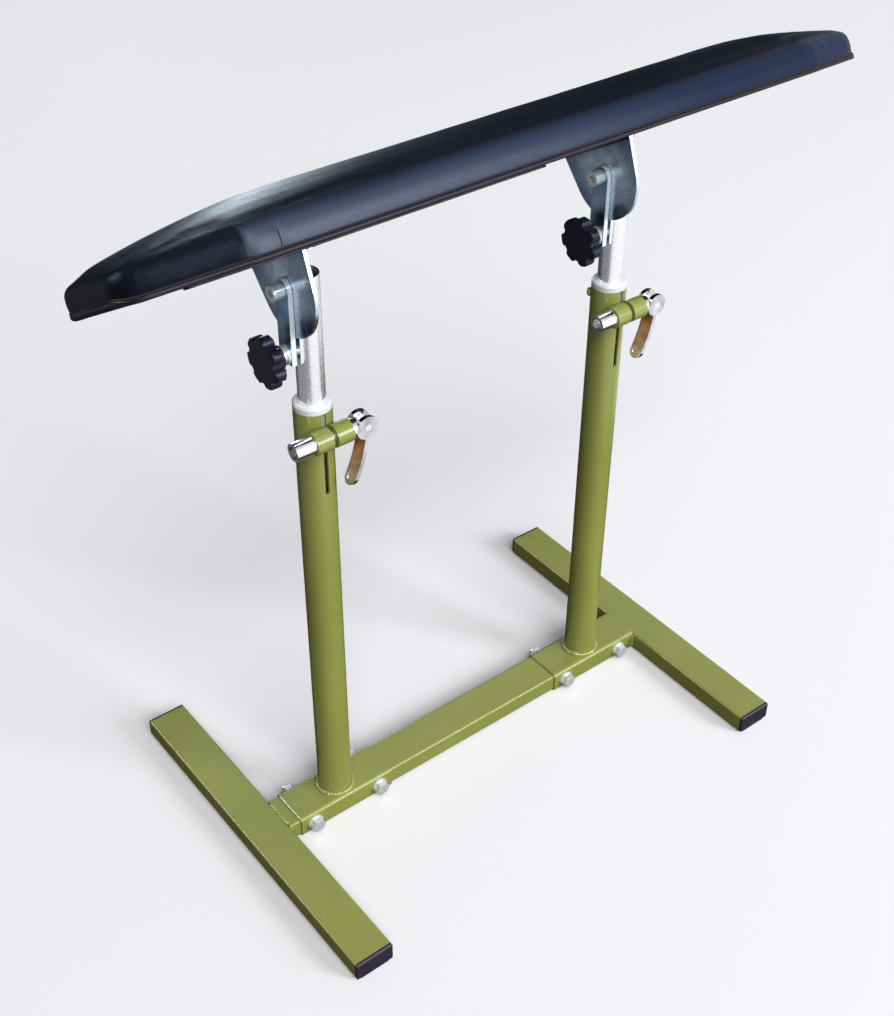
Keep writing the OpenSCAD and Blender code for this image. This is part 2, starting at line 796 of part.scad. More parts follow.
module knob_star() {
    circle(r = knob_d / 2 - knob_valley);
    for (i = [0:knob_lobes - 1])
        rotate([0, 0, 360 * i / knob_lobes])
            translate([knob_d / 2 - knob_lobe_r, 0]) circle(r = knob_lobe_r);
}

// Half profile of the rim with its edges rounded off
module knob_rim_profile() {
    translate([0, knob_hub_l]) {
        square([knob_d / 2 - knob_round, knob_rim_t]);
        translate([0, knob_round]) square([knob_d / 2, knob_rim_t - 2 * knob_round]);
        for (y = [knob_round, knob_rim_t - knob_round])
            translate([knob_d / 2 - knob_round, y]) circle(r = knob_round);
    }
}

module knob_at(x) {
    color([0.1, 0.1, 0.13])
        translate([x - knob_hub_x, 0, knob_z]) rotate([0, -90, 0]) difference() {
            union() {
                cylinder(d = knob_hub_d, h = knob_hub_l + knob_round);
                intersection() {
                    translate([0, 0, knob_hub_l]) linear_extrude(height = knob_rim_t) knob_star();
                    rotate_extrude() knob_rim_profile();
                }
            }
            translate([0, 0, -over]) cylinder(d = bolt_d + 2 * run_fit, h = knob_bore_l + over);
        }
}

// Tilting brackets

// Flat of a bracket plate up to its bend: a round end whose sides spread to the top
module plate_outline() {
    half = plate_top_w / 2;
    top = plate_rise - bend_r;
    // Where a line from the top corner touches the round end
    touch = atan2(top, half) - acos(plate_r / norm([half, top]));
    touch_at = [plate_r * cos(touch), plate_r * sin(touch)];
    circle(r = plate_r);
    polygon([[-half, top], [-touch_at[0], touch_at[1]], touch_at, [half, top]]);
}

module bracket_at(x) {
    // The bend's axis lies inside the corner between plate and flange
    bend_x = bend_r - plate_out_x;
    bend_z = plate_rise - bend_r;
    color("slategray") in_pad_frame() translate([x, 0, 0]) difference() {
        union() {
            translate([-plate_out_x, 0, 0]) rotate([90, 0, 90])
                linear_extrude(height = plate_t) difference() {
                    plate_outline();
                    translate([0, bend_z + plate_r]) square(2 * plate_r, center = true);
                }
            translate([bend_x, -plate_top_w / 2, plate_rise - plate_t])
                cube([flange_end_x - bend_x, plate_top_w, plate_t]);
            intersection() {
                translate([bend_x, 0, bend_z]) along_y() difference() {
                    cylinder(r = bend_r, h = plate_top_w, center = true);
                    cylinder(r = bend_r - plate_t, h = 2 * plate_top_w, center = true);
                }
                translate([bend_x - 2 * bend_r, -plate_top_w / 2, bend_z])
                    cube([2 * bend_r, plate_top_w, 2 * bend_r]);
            }
        }
        along_x() cylinder(d = bolt_d + 2 * run_fit, h = 4 * plate_out_x, center = true);
        for (side = [-1, 1])
            translate([flange_hole_x, side * screw_reach, plate_rise - plate_t - over])
                cylinder(d = screw_d + 2 * hole_fit, h = plate_t + 2 * over);
    }
}

module at_flange_screws() {
    in_pad_frame() on_both_posts()
        for (side = [-1, 1])
            translate([flange_hole_x, side * screw_reach, plate_rise]) children();
}

module bracket_screws() {
    color("gainsboro") at_flange_screws() translate([0, 0, -plate_t]) {
        translate([0, 0, -screw_head_h]) cylinder(d = screw_head_d, h = screw_head_h);
        cylinder(d = screw_d, h = plate_t + board_t - tee_plate_t);
    }
}

module tee_nuts() {
    color("silver") at_flange_screws() difference() {
        union() {
            translate([0, 0, board_t - tee_plate_t]) cylinder(d = tee_plate_d, h = tee_plate_t);
            translate([0, 0, board_t - tee_l]) cylinder(d = tee_barrel_d, h = tee_l - over);
        }
        translate([0, 0, -over]) cylinder(d = screw_d + 2 * run_fit, h = 2 * board_t);
    }
}

// Pad

module pad_board() {
    color("burlywood") difference() {
        in_pad_frame() translate([0, 0, plate_rise])
            linear_extrude(height = board_t) polygon(board_outline(0));
        at_flange_screws() {
            translate([0, 0, board_t - tee_plate_t])
                cylinder(d = tee_plate_d + 2 * run_fit, h = tee_plate_t + over);
            translate([0, 0, -over]) cylinder(d = tee_barrel_d + 2 * run_fit, h = 2 * board_t);
        }
    }
}

module cushion_body() {
    rows = len(stations);
    points = [for (x = stations) each [for (p = section(abs(x))) [x, p[0], p[1]]]];
    skin = [for (r = [0:rows - 2], i = [0:section_n - 1]) let (
            a = r * section_n + i,
            b = r * section_n + (i + 1) % section_n,
            c = a + section_n,
            d = b + section_n)
        each [[a, b, d], [a, d, c]]];
    first_end = [for (i = [section_n - 1:-1:0]) i];
    last_end = [for (i = [0:section_n - 1]) (rows - 1) * section_n + i];
    polyhedron(points = points, faces = concat(skin, [first_end], [last_end]), convexity = 4);
}

module pad_cushion() {
    pocket_h = pad_rim_drop + board_t + cover_gap;
    color([0.12, 0.14, 0.22])
        in_pad_frame() translate([0, 0, plate_rise - pad_rim_drop]) difference() {
            cushion_body();
            translate([0, 0, -over]) linear_extrude(height = pocket_h + over)
                polygon(board_outline(cover_gap));
        }
}

module left_foot() { foot_at(left_foot_x); }
module right_foot() { foot_at(right_foot_x); }
module left_sleeve() { sleeve(left_post_x - sleeve_reach, left_post_x + sleeve_reach); }
module right_sleeve() { sleeve(right_post_x - sleeve_reach, sleeve_butt); }
module left_post() { post_at(left_post_x, bush_pin_angle); }
module right_post() { post_at(right_post_x, 180 - bush_pin_angle); }
module left_bush() { bush_at(left_post_x, bush_pin_angle); }
module right_bush() { bush_at(right_post_x, 180 - bush_pin_angle); }
module left_clamp_rod() { clamp_rod_at(left_post_x); }
module right_clamp_rod() { clamp_rod_at(right_post_x); }
module left_barrel_nut() { barrel_nut_at(left_post_x); }
module right_barrel_nut() { barrel_nut_at(right_post_x); }
module left_cam_washer() { cam_washer_at(left_post_x); }
module right_cam_washer() { cam_washer_at(right_post_x); }
module left_cam_pin() { cam_pin_at(left_post_x); }
module right_cam_pin() { cam_pin_at(right_post_x); }
module left_lever() { lever_at(left_post_x); }
module right_lever() { lever_at(right_post_x); }
module left_inner_tube() { inner_tube_at(left_post_x); }
module right_inner_tube() { inner_tube_at(right_post_x); }
module left_tube_guide() { tube_guide_at(left_post_x); }
module right_tube_guide() { tube_guide_at(right_post_x); }
module left_clamp_bar() { clamp_bar_at(left_post_x); }
module right_clamp_bar() { clamp_bar_at(right_post_x); }
module left_pivot_bolt() { pivot_bolt_at(left_post_x); }
module right_pivot_bolt() { pivot_bolt_at(right_post_x); }
module left_pivot_nut() { pivot_nut_at(left_post_x); }
module right_pivot_nut() { pivot_nut_at(right_post_x); }
module left_mast_washers() { mast_washers_at(left_post_x); }
module right_mast_washers() { mast_washers_at(right_post_x); }
module left_knob_bolt() { knob_bolt_at(left_post_x); }
module right_knob_bolt() { knob_bolt_at(right_post_x); }
module left_knob() { knob_at(left_post_x); }
module right_knob() { knob_at(right_post_x); }
module left_bracket() { bracket_at(left_post_x); }
module right_bracket() { bracket_at(right_post_x); }

left_foot();
cross_rail();
left_sleeve();
left_post();
right_foot();
right_sleeve();
right_post();
end_caps();
base_bolts();
base_washers();
base_nuts();
left_bush();
right_bush();
bush_pins();
left_clamp_rod();
right_clamp_rod();
left_barrel_nut();
right_barrel_nut();
left_cam_washer();
right_cam_washer();
left_cam_pin();
right_cam_pin();
left_lever();
right_lever();
left_inner_tube();
right_inner_tube();
left_tube_guide();
right_tube_guide();
left_clamp_bar();
right_clamp_bar();
left_pivot_bolt();
right_pivot_bolt();
left_pivot_nut();
right_pivot_nut();
left_mast_washers();
right_mast_washers();
left_knob_bolt();
right_knob_bolt();
left_knob();
right_knob();
left_bracket();
right_bracket();
bracket_screws();
tee_nuts();
pad_board();
pad_cushion();
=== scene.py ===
import math
import random

import bpy
from mathutils import Matrix, Vector, noise


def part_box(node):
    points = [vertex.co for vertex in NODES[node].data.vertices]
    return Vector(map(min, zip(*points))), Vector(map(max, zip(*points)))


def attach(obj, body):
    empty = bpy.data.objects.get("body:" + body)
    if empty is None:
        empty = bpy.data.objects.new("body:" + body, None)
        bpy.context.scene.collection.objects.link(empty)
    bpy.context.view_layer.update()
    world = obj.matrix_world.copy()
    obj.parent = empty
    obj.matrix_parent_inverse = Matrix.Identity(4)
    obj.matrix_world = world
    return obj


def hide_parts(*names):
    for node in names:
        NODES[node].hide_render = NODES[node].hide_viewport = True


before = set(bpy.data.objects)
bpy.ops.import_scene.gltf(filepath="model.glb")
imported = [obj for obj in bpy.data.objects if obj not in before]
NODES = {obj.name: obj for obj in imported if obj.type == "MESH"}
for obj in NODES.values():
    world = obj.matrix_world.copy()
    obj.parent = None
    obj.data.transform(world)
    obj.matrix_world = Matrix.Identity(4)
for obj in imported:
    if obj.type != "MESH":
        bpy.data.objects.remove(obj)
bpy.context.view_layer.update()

# Camera
# The photograph was taken from the front left, standing, looking down at the stand.
# Its place, turn and focal length were solved from edges and corners of the base and
# from the outlines of the posts, the inner tubes and the brackets.
PHOTO_W, PHOTO_H = 894, 1016
PHOTO_FOCAL_PX = 1475.4
PHOTO_MIDDLE_PX = (454.3, 501.1)
SENSOR_MM = 36
CAMERA_PLACE = Vector((-0.7356, -0.8500, 1.1498))
CAMERA_TURN = math.radians(38.40)
CAMERA_PITCH = math.radians(37.80)
CAMERA_ROLL = math.radians(0.65)

camera_data = bpy.data.cameras.new("camera")
camera_data.sensor_fit = "HORIZONTAL"
camera_data.sensor_width = SENSOR_MM
camera_data.lens = PHOTO_FOCAL_PX * SENSOR_MM / PHOTO_W
camera_data.shift_x = (PHOTO_W / 2 - PHOTO_MIDDLE_PX[0]) / PHOTO_W
camera_data.shift_y = (PHOTO_MIDDLE_PX[1] - PHOTO_H / 2) / PHOTO_W
camera = bpy.data.objects.new("camera", camera_data)
bpy.context.scene.collection.objects.link(camera)
bpy.context.scene.camera = camera

sight = Vector((math.sin(CAMERA_TURN) * math.cos(CAMERA_PITCH),
                math.cos(CAMERA_TURN) * math.cos(CAMERA_PITCH),
                -math.sin(CAMERA_PITCH)))
level_right = Vector((math.cos(CAMERA_TURN), -math.sin(CAMERA_TURN), 0))
level_up = level_right.cross(sight)
right = level_right * math.cos(CAMERA_ROLL) + level_up * math.sin(CAMERA_ROLL)
up = level_up * math.cos(CAMERA_ROLL) - level_right * math.sin(CAMERA_ROLL)
camera_axes = Matrix((right, up, -sight)).transposed().to_4x4()
camera.matrix_world = Matrix.Translation(CAMERA_PLACE) @ camera_axes

bpy.context.scene.view_settings.view_transform = "Standard"


# Studio
# A plain pale floor under an even light from high in front and a soft light at the
# front right, as the bright bands on the posts and on the pad's front side show them.
# Two small lights at the back show only in mirror-like reflections.

class Wire:
    """An output in a material's node tree; Python's operators add Math nodes to it."""

    def __init__(self, finish, socket):
        self.finish = finish
        self.socket = socket

    def math(self, operation, *values):
        return self.finish.node("ShaderNodeMath", {"operation": operation}, dict(enumerate(values)))

    def __add__(self, other):
        return self.math("ADD", self, other)

    def __radd__(self, other):
        return self.math("ADD", other, self)

    def __sub__(self, other):
        return self.math("SUBTRACT", self, other)

    def __rsub__(self, other):
        return self.math("SUBTRACT", other, self)

    def __mul__(self, other):
        return self.math("MULTIPLY", self, other)

    def __rmul__(self, other):
        return self.math("MULTIPLY", other, self)

    def __abs__(self):
        return self.math("ABSOLUTE", self)

    def ramp(self, low, high, to_low=0.0, to_high=1.0):
        """This value mapped from low..high to to_low..to_high, and held at the ends."""
        return self.finish.node("ShaderNodeMapRange", {"clamp": True}, {
            "Value": self, "From Min": low, "From Max": high, "To Min": to_low, "To Max": to_high})


class Finish:
    """A material with a Principled shader; node() adds any other node to it."""

    def __init__(self, name, **sockets):
        self.material = bpy.data.materials.new(name)
        self.material.use_nodes = True
        self.tree = self.material.node_tree
        self.shader = self.tree.nodes["Principled BSDF"]
        self.set(sockets)

    def plug(self, node, sockets):
        for key, value in sockets.items():
            socket = node.inputs[key]
            if isinstance(value, Wire):
                self.tree.links.new(value.socket, socket)
            else:
                socket.default_value = value

    def set(self, sockets):
        self.plug(self.shader, {key.replace("_", " "): value for key, value in sockets.items()})

    def node(self, kind, settings=None, sockets=None, out=0):
        made = self.tree.nodes.new(kind)
        for key, value in (settings or {}).items():
            setattr(made, key, value)
        self.plug(made, sockets or {})
        return Wire(self, made.outputs[out])

    def place(self):
        """The point on the piece, in metres, in the stand's own frame at rest."""
        return self.node("ShaderNodeTexCoord", out="Object")

    def facing(self):
        """The direction that the surface faces, in the piece's own frame."""
        return self.node("ShaderNodeTexCoord", out="Normal")

    def axes(self, vector):
        split = self.node("ShaderNodeSeparateXYZ", sockets={"Vector": vector})
        return [Wire(self, split.socket.node.outputs[i]) for i in range(3)]

    def noise(self, scale, detail=2.0, roughness=0.5, vector=None):
        return self.node("ShaderNodeTexNoise", {"noise_dimensions": "3D"}, {
            "Vector": vector or self.place(), "Scale": scale, "Detail": detail,
            "Roughness": roughness}, out="Fac")

    def stretched(self, factors):
        return self.node("ShaderNodeVectorMath", {"operation": "MULTIPLY"},
                         {0: self.place(), 1: factors})

    def mix(self, factor, a, b):
        """Colour a where the factor is 0 and colour b where it is 1."""
        return self.node("ShaderNodeMix", {"data_type": "RGBA"}, {
            0: factor, 6: opaque(a), 7: opaque(b)}, out=2)

    def bump(self, height, depth, strength=1.0, under=None):
        sockets = {"Height": height, "Distance": depth, "Strength": strength}
        if under:
            sockets["Normal"] = under
        return self.node("ShaderNodeBump", sockets=sockets)


def opaque(colour):
    return colour if isinstance(colour, Wire) else (*colour, 1.0)


def linear(red, green, blue):
    """A colour given as it looks on a screen, 0 to 255, as the shader wants it."""
    def one(value):
        share = value / 255
        return share / 12.92 if share <= 0.04045 else ((share + 0.055) / 1.055) ** 2.4
    return (one(red), one(green), one(blue))


FLOOR_SIZE = 14.0
FLOOR_PALE = linear(240, 240, 242)
FLOOR_PATCH = (0.78, 0.78, 0.79)
FLOOR_BOUNCE = (0.20, 0.18, 0.14)
WORLD_PALE = linear(214, 215, 219)
WORLD_DIM = (0.08, 0.06, 0.04)
WORLD_LIT = (0.34, 0.35, 0.38)
LIT_ACROSS, LIT_FRONT, LIT_UP = 0.75, 0.45, 0.5
LIT_FROM, LIT_TO = -0.7, 0.9


def seen(finish):
    """1 for the camera and for mirror-like reflections, 0 for light that only bounces."""
    rays = finish.node("ShaderNodeLightPath", out="Is Camera Ray")
    outputs = rays.socket.node.outputs
    glossy = Wire(finish, outputs["Is Glossy Ray"])
    through = Wire(finish, outputs["Is Transmission Ray"])
    return rays.math("MAXIMUM", rays, glossy.math("MAXIMUM", glossy, through))


def add_sheet(name, corners, finish):
    """A flat four-cornered piece of the studio, which isn't part of the stand."""
    mesh = bpy.data.meshes.new(name)
    mesh.from_pydata(corners, [], [(0, 1, 2, 3)])
    mesh.materials.append(finish.material)
    sheet = bpy.data.objects.new(name, mesh)
    bpy.context.scene.collection.objects.link(sheet)
    return sheet


half = FLOOR_SIZE / 2
floor_finish = Finish("pale floor", Roughness=0.9)
floor_finish.set({
    "Base Color": floor_finish.mix(
        seen(floor_finish), FLOOR_BOUNCE,
        floor_finish.mix(floor_finish.noise(2.5, 3) * 0.06, FLOOR_PALE, FLOOR_PATCH)),
    "Specular IOR Level": 0.05})
floor_corners = [(-half, -half, 0), (half, -half, 0), (half, half, 0), (-half, half, 0)]
add_sheet("floor", floor_corners, floor_finish)

# Flags at the left and behind, as a studio has them, give the metal and the enamel
# something dark to mirror. Only mirror-like reflections show them.
FLAG_LIFT = 0.002
FLAG_FAR = 2.4
FLAG_TOP = 2.6
FLAG_HALF = 1.6
NEAR_X, NEAR_Y = 0.60, 0.48
LEFT_FLAG_FRONT = -0.8
BACK_FLAG_RIGHT = 3.6
FLAG_TONES = {
    "brown": ((0.050, 0.034, 0.024), (0.032, 0.024, 0.018)),
    "grey": ((0.32, 0.32, 0.34), (0.24, 0.24, 0.26)),
    "blue": ((0.050, 0.056, 0.075), (0.036, 0.042, 0.058))}
flag_cloths = {}
for tone, (light_patch, dark_patch) in FLAG_TONES.items():
    cloth = Finish(f"{tone} flag", Roughness=1.0, Specular_IOR_Level=0.0)
    cloth.set({"Base Color": cloth.mix(cloth.noise(3, 2), light_patch, dark_patch)})
    flag_cloths[tone] = cloth


def add_flag(name, tone, start, end, rise=0.0):
    """A flag over the floor between two corners, or standing on the line between them."""
    (x0, y0), (x1, y1) = start, end
    if rise:
        corners = [(x0, y0, 0), (x1, y1, 0), (x1, y1, rise), (x0, y0, rise)]
    else:
        corners = [(x, y, FLAG_LIFT) for x, y in ((x0, y0), (x1, y0), (x1, y1), (x0, y1))]
    flag = add_sheet(name, corners, flag_cloths[tone])
    flag.visible_camera = flag.visible_diffuse = flag.visible_shadow = False


add_flag("left_standing_flag", "brown", (-FLAG_FAR, -FLAG_HALF), (-FLAG_FAR, FLAG_HALF),
         rise=FLAG_TOP)
add_flag("near_flag", "brown", (-NEAR_X, -NEAR_Y), (NEAR_X, NEAR_Y))
add_flag("left_far_flag", "grey", (-FLAG_FAR, LEFT_FLAG_FRONT), (-NEAR_X, FLAG_FAR))
add_flag("back_lying_flag", "blue", (-NEAR_X, NEAR_Y), (FLAG_FAR, FLAG_FAR))
add_flag("back_standing_flag", "blue", (-FLAG_HALF, FLAG_FAR), (BACK_FLAG_RIGHT, FLAG_FAR),
         rise=FLAG_TOP)

world = bpy.data.worlds.new("world")
bpy.context.scene.world = world
world.use_nodes = True


class Sky(Finish):
    """The world's own tree, which takes the same expressions as a material's."""

    def __init__(self, owner):
        self.material = owner
        self.tree = owner.node_tree
        self.shader = self.tree.nodes["Background"]


sky = Sky(world)
across, depth_way, upward = sky.axes(sky.node("ShaderNodeTexCoord", out="Generated"))
lit_side = across * LIT_ACROSS - depth_way * LIT_FRONT + upward * LIT_UP
lit_side = lit_side.ramp(LIT_FROM, LIT_TO)
sky.set({"Color": sky.mix(seen(sky), sky.mix(lit_side, WORLD_DIM, WORLD_LIT), WORLD_PALE)})

LIGHT_AIM = Vector((0, 0, 0.45))
SUN_DISTANCE = 4.0


def away_from(bearing, height):
    """The direction of a light; bearing is from -Y towards +X, both in degrees."""
    turn, rise = math.radians(bearing), math.radians(height)
    level = math.cos(rise)
    return Vector((math.sin(turn) * level, -math.cos(turn) * level, math.sin(rise)))


def hang(name, data, away, distance, only_mirrored=False):
    lamp = bpy.data.objects.new(name, data)
    lamp.location = LIGHT_AIM + away * distance
    lamp.rotation_euler = (-away).to_track_quat("-Z", "Y").to_euler()
    lamp.visible_camera = False
    lamp.visible_diffuse = not only_mirrored
    bpy.context.scene.collection.objects.link(lamp)


def soft_light(name, bearing, height, distance, size, radiance, colour=(1, 1, 1),
               only_mirrored=False):
    data = bpy.data.lights.new(name, "AREA")
    data.shape = "RECTANGLE"
    data.size, data.size_y = size
    data.energy = radiance * math.pi * size[0] * size[1]
    data.color = colour
    hang(name, data, away_from(bearing, height), distance, only_mirrored)


def wide_sun(name, bearing, height, strength, spread):
    """An even light from far away, softened by its width in degrees."""
    data = bpy.data.lights.new(name, "SUN")
    data.energy = strength
    data.angle = math.radians(spread)
    hang(name, data, away_from(bearing, height), SUN_DISTANCE)


wide_sun("high front sun", bearing=-16, height=45, strength=2.3, spread=40)
soft_light("front right light", bearing=28, height=22, distance=6.0, size=(2.0, 2.3),
           radiance=17.0, colour=(0.95, 0.97, 1.0))
soft_light("back left light", bearing=-125, height=20, distance=2.93, size=(1.3, 0.3),
           radiance=32.0, only_mirrored=True)
soft_light("low back light", bearing=164, height=4, distance=2.5, size=(0.55, 1.0),
           radiance=10.0, colour=(0.78, 0.90, 1.0), only_mirrored=True)


# Painted steel frame
# Feet, rail, sleeves and posts are mild steel tube, welded and sprayed olive green in
# a glossy enamel that pulls thin over the welds. The CAD nodes carry the shape.

PAINT = linear(140, 147, 74)
PAINT_DEEP = linear(124, 130, 60)
PAINT_THIN = linear(176, 182, 104)

paint = Finish("olive enamel", Coat_Weight=0.4, Coat_Roughness=0.09, Specular_IOR_Level=0.35)
drift = paint.noise(9, 3).ramp(0.35, 0.65)
orange_peel = paint.noise(150, 0)
paint.set({
    "Base Color": paint.mix(drift * 0.5, PAINT, PAINT_DEEP),
    "Roughness": paint.noise(60, 2).ramp(0.3, 0.7, 0.26, 0.38),
    "Normal": paint.bump(orange_peel, 0.0002, 0.15)})


def dress(finish, *names):
    for name in names:
        mesh = NODES[name].data
        mesh.materials.clear()
        mesh.materials.append(finish.material)


dress(paint, "left_foot", "cross_rail", "left_sleeve", "left_post", "right_foot",
      "right_sleeve", "right_post", "bush_pins")


# Weld beads
# Short runs of weld join the rail to the left foot, the right sleeve to the right foot
# and the posts to their sleeves. Each bead is a lumpy, faintly rippled ridge laid along
# its joint and sprayed with the frame.

def add_piece(name, vertices, faces, finish, body):
    """A mesh piece that rides on a body and takes the given finish."""
    mesh = bpy.data.meshes.new(name)
    mesh.from_pydata(vertices, [], faces)
    mesh.materials.append(finish.material)
    mesh.shade_smooth()
    piece = bpy.data.objects.new(name, mesh)
    bpy.context.scene.collection.objects.link(piece)
    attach(piece, body)
    return piece


def tube_along(points, radius_at, sides=10, closed=False):
    """Vertices and faces of a tube along points, its radius given by radius_at(step)."""
    count = len(points)
    vertices, faces = [], []
    for step, point in enumerate(points):
        if closed:
            ahead = points[(step + 1) % count] - points[step - 1]
        else:
            ahead = points[min(step + 1, count - 1)] - points[max(step - 1, 0)]
        ahead.normalize()
        side = ahead.cross(Vector((0, 0, 1)))
        side = side.normalized() if side.length > 0.01 else Vector((1, 0, 0))
        rise = side.cross(ahead)
        for corner in range(sides):
            angle = 2 * math.pi * corner / sides
            reach = radius_at(step)
            vertices.append(point + side * math.cos(angle) * reach + rise * math.sin(angle) * reach)
    for step in range(count if closed else count - 1):
        near, far = step * sides, ((step + 1) % count) * sides
        for corner in range(sides):
            other = (corner + 1) % sides
            faces.append((near + corner, near + other, far + other, far + corner))
    if not closed:
        faces.append(tuple(range(sides - 1, -1, -1)))
        faces.append(tuple((count - 1) * sides + corner for corner in range(sides)))
    return vertices, faces


WELD_R = 0.0020
WELD_RIPPLE = 0.0031
RIPPLE_SHARE = 0.05
LUMP_SCALE, FINE_LUMP_SCALE, FINE_LUMP_SHARE = 95, 200, 0.2
WELD_SINK = 0.0004
POST_X = {"left": -0.210, "right": 0.117}
POST_WELD_R, POST_WELD_RING_R = 0.0023, 0.0176
POST_WELD_RISE = 0.0010
POST_WELD_STEPS = 220

weld_paint = Finish("enamel on weld", Coat_Weight=1.0, Coat_Roughness=0.05)
weld_paint.set({
    "Base Color": weld_paint.mix(weld_paint.noise(220, 3).ramp(0.5, 0.8), PAINT, PAINT_THIN),
    "Roughness": weld_paint.noise(160, 2).ramp(0.3, 0.7, 0.16, 0.30),
    "Normal": weld_paint.bump(weld_paint.noise(320, 2), 0.0004, 0.2)})


def weld_bead(name, points, radius=WELD_R, uneven=0.30, closed=False):
    """A bead with a faint ripple every few millimetres and an uneven, lumpy width."""
    spacing = (points[1] - points[0]).length
    phase = random.uniform(0, math.tau)

    def radius_at(step):
        ripple = math.sin(phase + math.tau * step * spacing / WELD_RIPPLE)
        lumps = noise.noise(points[step] * LUMP_SCALE)
        lumps += FINE_LUMP_SHARE * noise.noise(points[step] * FINE_LUMP_SCALE)
        return radius * (1 + RIPPLE_SHARE * ripple + uneven * lumps)

    vertices, faces = tube_along(points, radius_at, closed=closed)
    return add_piece(name, vertices, faces, weld_paint, "base")


random.seed(4)


def straight_run(start, end, spacing=0.0005):
    steps = max(2, round((end - start).length / spacing))
    return [start.lerp(end, step / steps) for step in range(steps + 1)]


def ring_run(centre, radius, steps):
    angles = [math.tau * step / steps for step in range(steps)]
    return [centre + Vector((math.cos(angle) * radius, math.sin(angle) * radius, 0))
            for angle in angles]


right_foot_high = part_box("right_foot")[1]
rail_low, rail_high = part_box("cross_rail")
CORNER_R = 0.0025
for label, x, low, high in (
        ("rail", rail_low.x, rail_low, rail_high),
        ("sleeve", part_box("right_sleeve")[1].x, *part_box("right_sleeve"))):
    top = Vector((0, 0, right_foot_high.z - WELD_SINK))
    weld_bead(f"{label}_top_weld", straight_run(
        Vector((x, low.y + 2 * CORNER_R, top.z)), Vector((x, high.y - 2 * CORNER_R, top.z))))
    for side, y in (("front", low.y), ("back", high.y)):
        weld_bead(f"{label}_{side}_weld", straight_run(
            Vector((x, y, low.z + 2 * CORNER_R)), Vector((x, y, top.z - CORNER_R))))

for label, post_x in POST_X.items():
    weld_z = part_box(f"{label}_post")[0].z + POST_WELD_RISE
    ring = ring_run(Vector((post_x, 0, weld_z)), POST_WELD_RING_R, POST_WELD_STEPS)
    weld_bead(f"{label}_post_weld", ring, radius=POST_WELD_R, uneven=0.45, closed=True)


# Painted highlight on the sleeve's edge
# A painted highlight lies along the left sleeve's top end edge: a rounded sliver of pale,
# half-metallic colour that shines as a thin line.

EDGE_R = 0.0005
EDGE_IN, EDGE_DOWN, EDGE_SHORT, EDGE_STEP = 0.0001, 0.0003, 0.003, 0.002

edge_highlight_finish = Finish("painted edge highlight", Metallic=0.6)
edge_highlight_finish.set({
    "Base Color": edge_highlight_finish.mix(edge_highlight_finish.noise(200, 2), (0.85, 0.87, 0.84), (0.62, 0.66, 0.52)),
    "Roughness": edge_highlight_finish.noise(300, 2).ramp(0.3, 0.7, 0.25, 0.45)})
sleeve_low, sleeve_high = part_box("left_sleeve")
edge_x, edge_z = sleeve_low.x + EDGE_IN, sleeve_high.z - EDGE_DOWN
edge_run = straight_run(Vector((edge_x, sleeve_low.y + EDGE_SHORT, edge_z)),
                        Vector((edge_x, sleeve_high.y - EDGE_SHORT, edge_z)), EDGE_STEP)
vertices, faces = tube_along(edge_run, lambda step: EDGE_R)
add_piece("sleeve_edge_highlight", vertices, faces, edge_highlight_finish, "base")


# End caps
# Four black polythene caps are pushed into the feet's open ends and stand on the floor.
# Their fine moulded grain shows as a soft sheen. The guides in the posts match them.

cap_plastic = Finish("cap polythene", Roughness=0.45, Specular_IOR_Level=0.35)
cap_plastic.set({
    "Base Color": cap_plastic.mix(cap_plastic.noise(40, 3), linear(36, 32, 44), linear(54, 49, 62)),
    "Normal": cap_plastic.bump(cap_plastic.noise(900, 1), 0.0002, 0.4)})
dress(cap_plastic, "end_caps", "left_tube_guide", "right_tube_guide")


# Zinc-plated fasteners
# Steel bolts, washers, nuts, rods and pins, plated in bright zinc. Its passivation
# leaves a faint cast that drifts between blue and straw.

zinc = Finish("bright zinc", Metallic=0.5)
cast = zinc.noise(120, 2).ramp(0.35, 0.65)
zinc.set({
    "Base Color": zinc.mix(cast, (0.76, 0.83, 0.90), (0.86, 0.84, 0.78)),
    "Roughness": zinc.noise(300, 3).ramp(0.3, 0.7, 0.16, 0.30),
    "Normal": zinc.bump(zinc.noise(1500, 2), 0.00008, 0.3)})
dress(zinc, "base_bolts", "base_washers", "base_nuts", "left_pivot_bolt", "right_pivot_bolt",
      "left_pivot_nut", "right_pivot_nut", "left_mast_washers", "right_mast_washers",
      "left_knob_bolt", "right_knob_bolt", "bracket_screws", "tee_nuts",
      "left_clamp_rod", "right_clamp_rod", "left_cam_pin", "right_cam_pin")


# Bushes
# White nylon bushes with a bevelled flange close the top of each post and guide the
# inner tube. The nylon is slightly glossy and faintly clouded with grey.

nylon = Finish("white nylon", Roughness=0.38)
nylon.set({"Base Color": nylon.mix(
    nylon.noise(90, 3) * 0.5, linear(218, 222, 226), linear(196, 202, 208))})
dress(nylon, "left_bush", "right_bush")


# Post clamps
# A quick-release cam pulls a rod through the split lug: barrel nut, hollowed washer
# and a bowed lever, all chromed and polished.

chrome = Finish("polished chrome", Metallic=1.0)
chrome.set({
    "Base Color": (0.86, 0.86, 0.87, 1),
    "Roughness": chrome.noise(200, 2).ramp(0.3, 0.7, 0.16, 0.26)})
dress(chrome, "left_barrel_nut", "right_barrel_nut", "left_cam_washer", "right_cam_washer")
